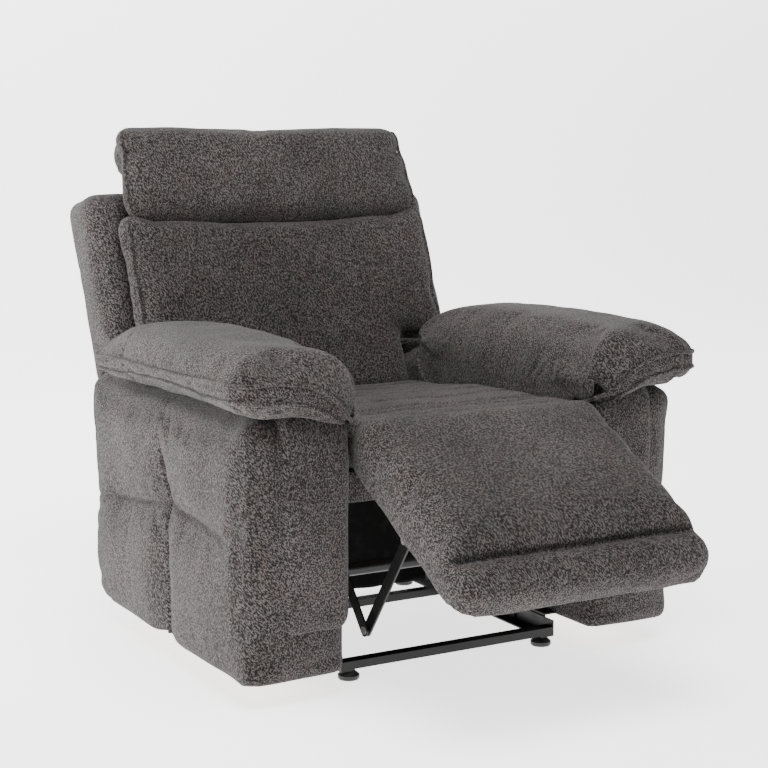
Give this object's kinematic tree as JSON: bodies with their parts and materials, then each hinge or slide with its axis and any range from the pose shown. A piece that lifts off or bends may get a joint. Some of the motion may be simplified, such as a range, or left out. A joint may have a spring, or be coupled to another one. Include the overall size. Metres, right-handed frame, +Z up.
{
  "type": "recliner armchair",
  "caption": "Manual recliner armchair with pillow arms, a bolster headrest and a chaise footrest that folds up in front.",
  "frame": {"origin": "centre of the whole object's bounding box, on the floor", "axes": "+Z up, +Y towards the rear of the chair, so the sitter faces -Y and their left hand is at +X"},
  "size_m": [1.036, 1.4544, 1.0453],
  "materials": {
    "upholstery": "charcoal woven chenille",
    "black_steel": "semi-gloss black powder coat",
    "zinc_steel": "zinc plated",
    "spring_steel": "oiled spring wire",
    "plywood": "raw plywood",
    "webbing": "elastic webbing",
    "black_plastic": "moulded",
    "grip_plastic": "moulded, fine texture"
  },
  "bodies": {
    "base": {"left_arm_cover": "upholstery", "right_arm_cover": "upholstery", "left_arm_front_pad": "upholstery", "right_arm_front_pad": "upholstery", "left_arm_frame": "plywood", "right_arm_frame": "plywood", "left_arm_pillow": "upholstery", "right_arm_pillow": "upholstery", "glide_feet": "black_plastic", "left_base_rail": "black_steel", "right_base_rail": "black_steel", "left_base_plate": "black_steel", "right_base_plate": "black_steel", "front_stretcher": "black_steel", "middle_stretcher": "black_steel", "rear_stretcher": "black_steel", "arm_brackets": "black_steel", "arm_bolts": "zinc_steel", "base_pivot_pins": "zinc_steel", "lever_pin": "zinc_steel"},
    "front_swing": {"front_swing_links": "black_steel"},
    "rear_swing": {"rear_swing_links": "black_steel"},
    "seat": {"left_seat_plate": "black_steel", "right_seat_plate": "black_steel", "rear_cross_tube": "black_steel", "dust_curtain": "webbing", "seat_frame": "plywood", "seat_springs": "spring_steel", "seat_cushion": "upholstery", "seat_pivot_pins": "zinc_steel"},
    "back": {"back_frame": "plywood", "back_webbing": "webbing", "headrest_board": "plywood", "back_cushion": "upholstery", "headrest_cushion": "upholstery", "outside_back": "upholstery", "left_back_side": "upholstery", "right_back_side": "upholstery", "left_back_bracket": "black_steel", "right_back_bracket": "black_steel"},
    "footrest": {"footrest_board": "plywood", "footrest_pad": "upholstery", "left_footrest_bracket": "black_steel", "right_footrest_bracket": "black_steel"},
    "cranks": {"left_crank": "black_steel", "right_crank": "black_steel", "torque_tube": "black_steel", "crank_pins": "zinc_steel"},
    "couplers": {"coupler_links": "black_steel", "coupler_pins": "zinc_steel"},
    "lever": {"release_lever": "black_steel", "release_grip": "grip_plastic"}
  },
  "joints": [
    {"name": "back_recline", "type": "hinge", "parent": "seat", "child": "back", "pos_m": [0, 0.37829, 0.34], "axis": [-1, 0, 0], "range_deg": [0, 30]},
    {"name": "front_swing", "type": "hinge", "parent": "base", "child": "front_swing", "pos_m": [0, -0.09171, 0.09], "axis": [1, 0, 0], "range_deg": [0, 24]},
    {"name": "rear_swing", "type": "hinge", "parent": "base", "child": "rear_swing", "pos_m": [0, 0.21829, 0.09], "axis": [1, 0, 0], "range_deg": [0, 24]},
    {"name": "seat_carry", "type": "hinge", "parent": "front_swing", "child": "seat", "pos_m": [0, -0.06462, 0.19867], "axis": [1, 0, 0], "range_deg": [-24, 0]},
    {"name": "footrest_open", "type": "hinge", "parent": "seat", "child": "footrest", "pos_m": [0, -0.30971, 0.486], "axis": [-1, 0, 0], "range_deg": [-62, 18]},
    {"name": "crank_turn", "type": "hinge", "parent": "seat", "child": "cranks", "pos_m": [0, -0.16171, 0.283], "axis": [-1, 0, 0], "range_deg": [-62, 18]},
    {"name": "coupler_turn", "type": "hinge", "parent": "cranks", "child": "couplers", "pos_m": [0, -0.31099, 0.11066], "axis": [-1, 0, 0], "range_deg": [-18, 62]},
    {"name": "release_pull", "type": "hinge", "parent": "base", "child": "lever", "pos_m": [-0.2645, -0.15971, 0.312], "axis": [-1, 0, 0], "range_deg": [0, 18], "stiffness_Nm_per_rad": 1.5, "springref_deg": -11.46}
  ],
  "couplings": [
    {"joint": "front_swing", "follows": "back_recline", "ratio": 0.8},
    {"joint": "rear_swing", "follows": "back_recline", "ratio": 0.8},
    {"joint": "seat_carry", "follows": "back_recline", "ratio": -0.8},
    {"joint": "crank_turn", "follows": "footrest_open", "ratio": 1},
    {"joint": "coupler_turn", "follows": "footrest_open", "ratio": -1}
  ]
}
